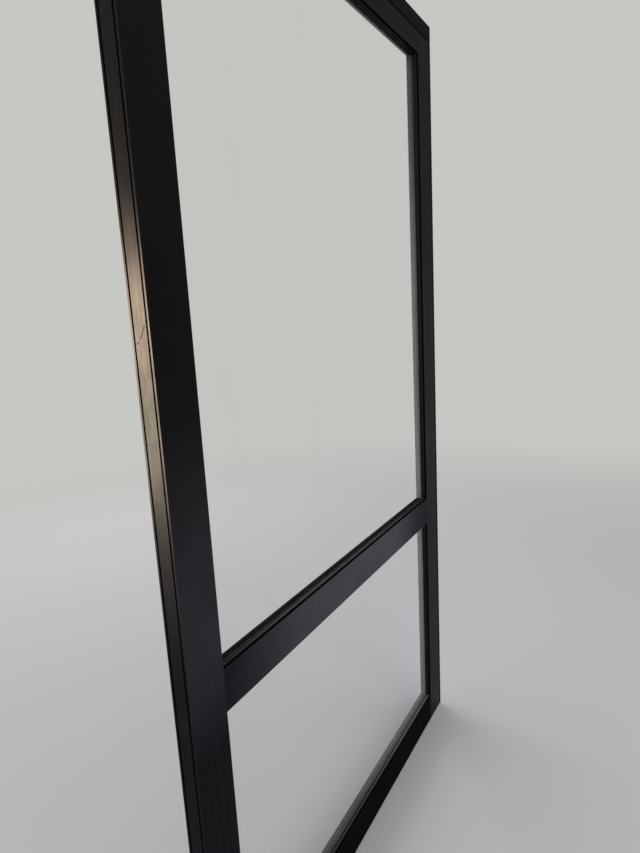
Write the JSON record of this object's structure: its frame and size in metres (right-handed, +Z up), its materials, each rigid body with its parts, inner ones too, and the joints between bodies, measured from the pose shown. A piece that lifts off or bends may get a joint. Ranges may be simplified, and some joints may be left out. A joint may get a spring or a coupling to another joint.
{
  "type": "glass entrance door",
  "caption": "Glazed aluminium entrance door leaf with a mid rail, hung on head and floor pivots, with its head and slim wall jamb.",
  "frame": {"origin": "bottom centre of the door, at the level of the threshold that it stands over", "axes": "+X runs from the leaf's free edge to its hanging edge and the wall, +Y through its thickness, +Z up"},
  "size_m": [1.387, 0.045, 2.523],
  "materials": {
    "black_coat": "satin black powder coat on extruded aluminium",
    "clear_glass": "clear float, faintly green, dusty",
    "black_rubber": "matte wedge gasket",
    "packer_plastic": "moulded packer",
    "weather_pile": "woven pile",
    "bronze": "machined",
    "black_plastic": "moulded",
    "mill_aluminium": "mill finish, saw cut",
    "zinc_steel": "zinc plated"
  },
  "bodies": {
    "frame": {"head": "black_coat", "head_end_cap": "black_plastic", "wall_jamb": "black_coat", "floor_pivot_plate": "zinc_steel", "floor_spindle": "zinc_steel", "pivot_socket": "zinc_steel", "socket_bush": "bronze"},
    "leaf": {"bottom_bush": "bronze", "bottom_pivot_block": "zinc_steel", "bottom_rail": "black_coat", "bottom_rail_blocks": "mill_aluminium", "foot_piles": "weather_pile", "free_stile": "black_coat", "hanging_edge_piles": "weather_pile", "hanging_stile": "black_coat", "head_piles": "weather_pile", "lower_back_bead_bottom": "black_coat", "lower_back_bead_free_side": "black_coat", "lower_back_bead_hanging_side": "black_coat", "lower_back_bead_top": "black_coat", "lower_back_gaskets": "black_rubber", "lower_front_bead_bottom": "black_coat", "lower_front_bead_free_side": "black_coat", "lower_front_bead_hanging_side": "black_coat", "lower_front_bead_top": "black_coat", "lower_front_gaskets": "black_rubber", "lower_glass": "clear_glass", "lower_setting_blocks": "packer_plastic", "lower_side_blocks": "packer_plastic", "mid_rail": "black_coat", "mid_rail_blocks": "mill_aluminium", "nut_plates": "zinc_steel", "pivot_block_screws": "zinc_steel", "rail_bolts": "zinc_steel", "thrust_disc": "bronze", "top_pivot_block": "zinc_steel", "top_pivot_pin": "zinc_steel", "top_rail": "black_coat", "top_rail_blocks": "mill_aluminium", "upper_back_bead_bottom": "black_coat", "upper_back_bead_free_side": "black_coat", "upper_back_bead_hanging_side": "black_coat", "upper_back_bead_top": "black_coat", "upper_back_gaskets": "black_rubber", "upper_front_bead_bottom": "black_coat", "upper_front_bead_free_side": "black_coat", "upper_front_bead_hanging_side": "black_coat", "upper_front_bead_top": "black_coat", "upper_front_gaskets": "black_rubber", "upper_glass": "clear_glass", "upper_setting_blocks": "packer_plastic", "upper_side_blocks": "packer_plastic"}
  },
  "joints": [
    {"name": "leaf_swing", "type": "hinge", "parent": "frame", "child": "leaf", "pos_m": [0.6085, 0, 0.042], "axis": [0, 0, 1], "range_deg": [-90, 90]}
  ]
}
